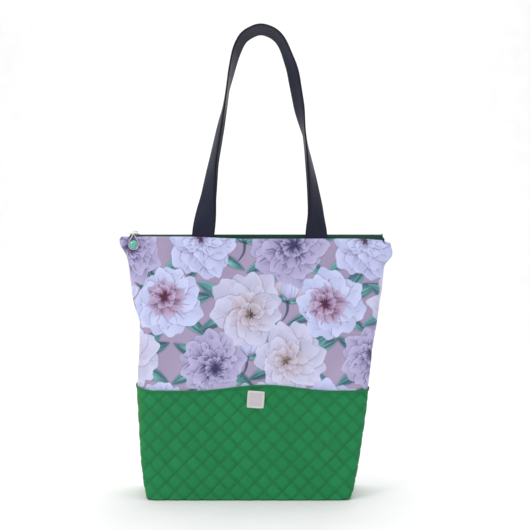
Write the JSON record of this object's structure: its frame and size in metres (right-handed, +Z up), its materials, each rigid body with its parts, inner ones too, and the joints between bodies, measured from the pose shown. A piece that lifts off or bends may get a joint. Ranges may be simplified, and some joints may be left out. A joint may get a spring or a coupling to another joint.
{
  "type": "knitting bag",
  "caption": "Zipped fabric tote with a printed upper, a quilted lower, a flat boxed base and two long twisted strap handles.",
  "frame": {"origin": "middle of the base, on the surface that the bag stands on", "axes": "+Z up, +X to the right of the front view, front face towards -Y"},
  "size_m": [0.4064, 0.1082, 0.6956],
  "materials": {
    "quilted_green": "satin quilted",
    "printed_canvas": "matte woven",
    "lining": "matte woven",
    "board": "matte",
    "label": "matte",
    "strap": "satin grained",
    "zip_tape": "matte woven",
    "zip_coil": "satin",
    "plated_metal": "polished",
    "stone": "faceted gloss"
  },
  "bodies": {
    "bag": {"quilted_panel_front": "quilted_green", "quilted_panel_back": "quilted_green", "print_panel_front": "printed_canvas", "print_panel_back": "printed_canvas", "lining_front": "lining", "lining_back": "lining", "base_board": "board", "label": "label", "handle_ends_front": "strap", "handle_ends_back": "strap", "zip_end_left": "zip_tape", "zip_end_right": "zip_tape", "zip_top_stops": "plated_metal", "zip_bottom_stop": "plated_metal"},
    "front_handle": {"handle_front": "strap"},
    "back_handle": {"handle_back": "strap"},
    "front_flap": {"zip_tape_front": "zip_tape", "zip_teeth_front": "zip_coil"},
    "back_flap": {"zip_tape_back": "zip_tape", "zip_teeth_back": "zip_coil"},
    "slider": {"zip_slider": "plated_metal"},
    "link": {"pull_link": "plated_metal"},
    "pendant": {"pendant_frame": "plated_metal", "pendant_bezel": "plated_metal", "pendant_gem": "stone"}
  },
  "joints": [
    {"name": "zip_slide", "type": "slide", "parent": "bag", "child": "slider", "axis": [1, 0, 0], "range_m": [0, 0.362]},
    {"name": "link_flip", "type": "hinge", "parent": "slider", "child": "link", "pos_m": [-0.181, 0, 0.3908], "axis": [-1, 0, 0], "range_deg": [0, 205]},
    {"name": "pendant_swing", "type": "hinge", "parent": "link", "child": "pendant", "pos_m": [-0.181, -0.01828, 0.3864], "axis": [-1, 0, 0], "range_deg": [0, 150]},
    {"name": "front_handle_swing", "type": "hinge", "parent": "bag", "child": "front_handle", "pos_m": [0, -0.0172, 0.382], "axis": [1, 0, 0], "range_deg": [0, 165]},
    {"name": "back_handle_swing", "type": "hinge", "parent": "bag", "child": "back_handle", "pos_m": [0, 0.0172, 0.382], "axis": [-1, 0, 0], "range_deg": [0, 165]},
    {"name": "front_flap_fold", "type": "hinge", "parent": "bag", "child": "front_flap", "pos_m": [0, -0.0093, 0.3804], "axis": [1, 0, 0], "range_deg": [0, 48]},
    {"name": "back_flap_fold", "type": "hinge", "parent": "bag", "child": "back_flap", "pos_m": [0, 0.0093, 0.3804], "axis": [-1, 0, 0], "range_deg": [0, 48]}
  ]
}
